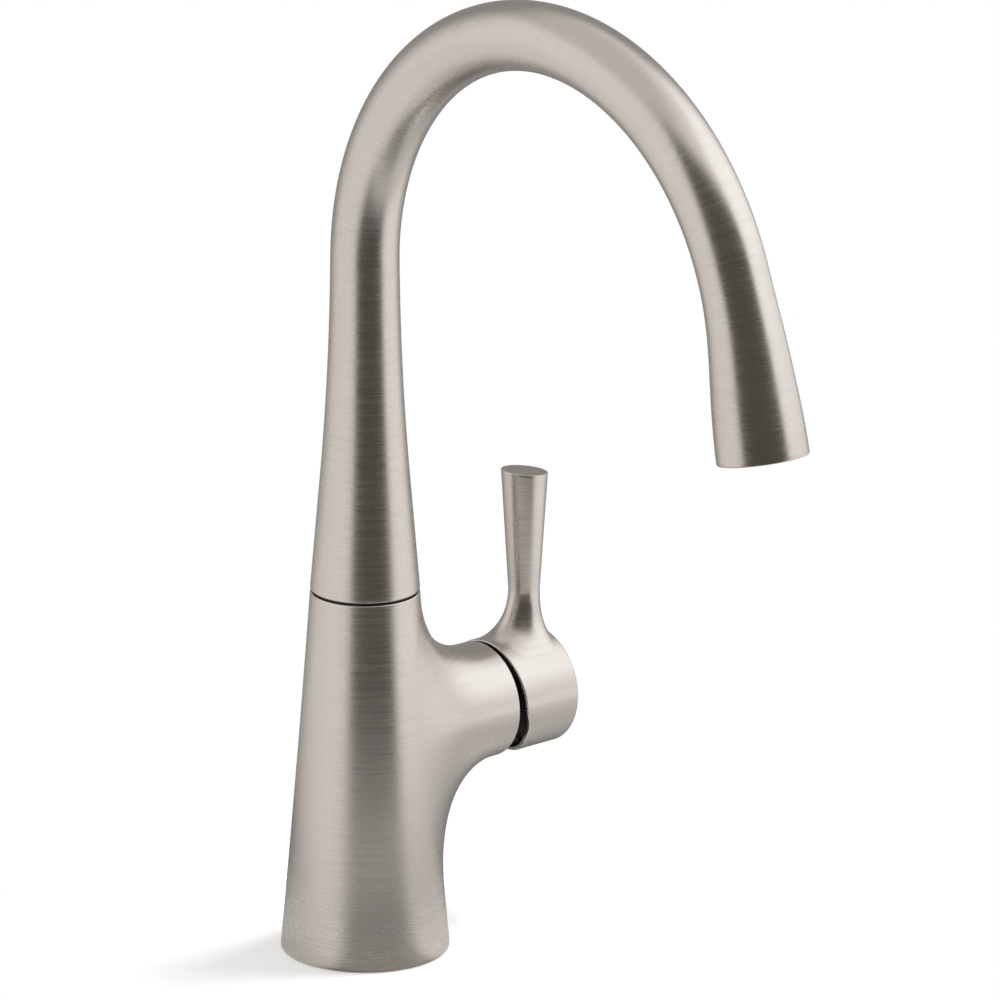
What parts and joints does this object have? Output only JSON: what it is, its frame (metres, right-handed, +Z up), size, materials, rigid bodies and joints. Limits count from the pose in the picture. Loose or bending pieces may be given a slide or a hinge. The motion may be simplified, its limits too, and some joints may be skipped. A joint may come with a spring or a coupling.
{
  "type": "gooseneck bar faucet",
  "caption": "Deck faucet for a bar sink: tapered body with a side stub and lever, and a swivelling gooseneck spout with a flared outlet.",
  "frame": {"origin": "centre of the body's round base, on the deck surface, over the deck hole", "axes": "+Z up, the spout points to -Y at rest, the side stub and its lever are on +X"},
  "size_m": [0.1045, 0.2265, 0.3906],
  "materials": {
    "brushed_nickel": "fine brushed nickel over brass",
    "brass": "machined",
    "steel": "machined stainless",
    "rubber": "moulded",
    "ceramic": "lapped",
    "grey_plastic": "moulded",
    "white_plastic": "moulded acetal",
    "black_plastic": "moulded acetal"
  },
  "bodies": {
    "body": {"faucet_body": "brushed_nickel", "glide_washer": "black_plastic", "base_gasket": "rubber", "mounting_shank": "brass", "deck_washer": "rubber", "steel_washer": "steel", "mounting_nut": "brass", "inlet_hot": "brass", "inlet_cold": "brass", "cartridge_seal": "rubber", "cartridge_base": "grey_plastic", "fixed_disc": "ceramic", "cartridge_cup": "grey_plastic", "limit_ring": "white_plastic", "cartridge_nut": "black_plastic"},
    "spout": {"spout_tube": "brushed_nickel", "spout_adapter": "brass", "glide_bush_upper": "white_plastic", "glide_bush_lower": "white_plastic", "o_ring_upper": "rubber", "o_ring_lower": "rubber", "retaining_clip": "steel", "aerator_shell": "steel", "aerator_insert": "grey_plastic", "aerator_washer": "rubber"},
    "rotor": {"cartridge_rotor": "white_plastic", "pivot_pin": "steel"},
    "handle": {"handle_lever": "brushed_nickel", "cartridge_stem": "steel", "handle_set_screw": "steel", "screw_plug": "grey_plastic"},
    "mixer": {"moving_disc": "ceramic", "disc_carrier": "white_plastic"}
  },
  "joints": [
    {"name": "spout_swivel", "type": "hinge", "parent": "body", "child": "spout", "pos_m": [0, 0, 0.1211], "axis": [0, 0, 1], "continuous": true},
    {"name": "handle_temperature", "type": "hinge", "parent": "body", "child": "rotor", "pos_m": [0.042, 0, 0.0735], "axis": [1, 0, 0], "range_deg": [-45, 45]},
    {"name": "handle_flow", "type": "hinge", "parent": "rotor", "child": "handle", "pos_m": [0.042, 0, 0.0735], "axis": [0, 1, 0], "range_deg": [0, 15]},
    {"name": "disc_slide", "type": "slide", "parent": "rotor", "child": "mixer", "axis": [0, 0, 1], "range_m": [0, 0.0022]}
  ],
  "couplings": [
    {"joint": "disc_slide", "follows": "handle_flow", "m_per_rad": 0.00815}
  ]
}
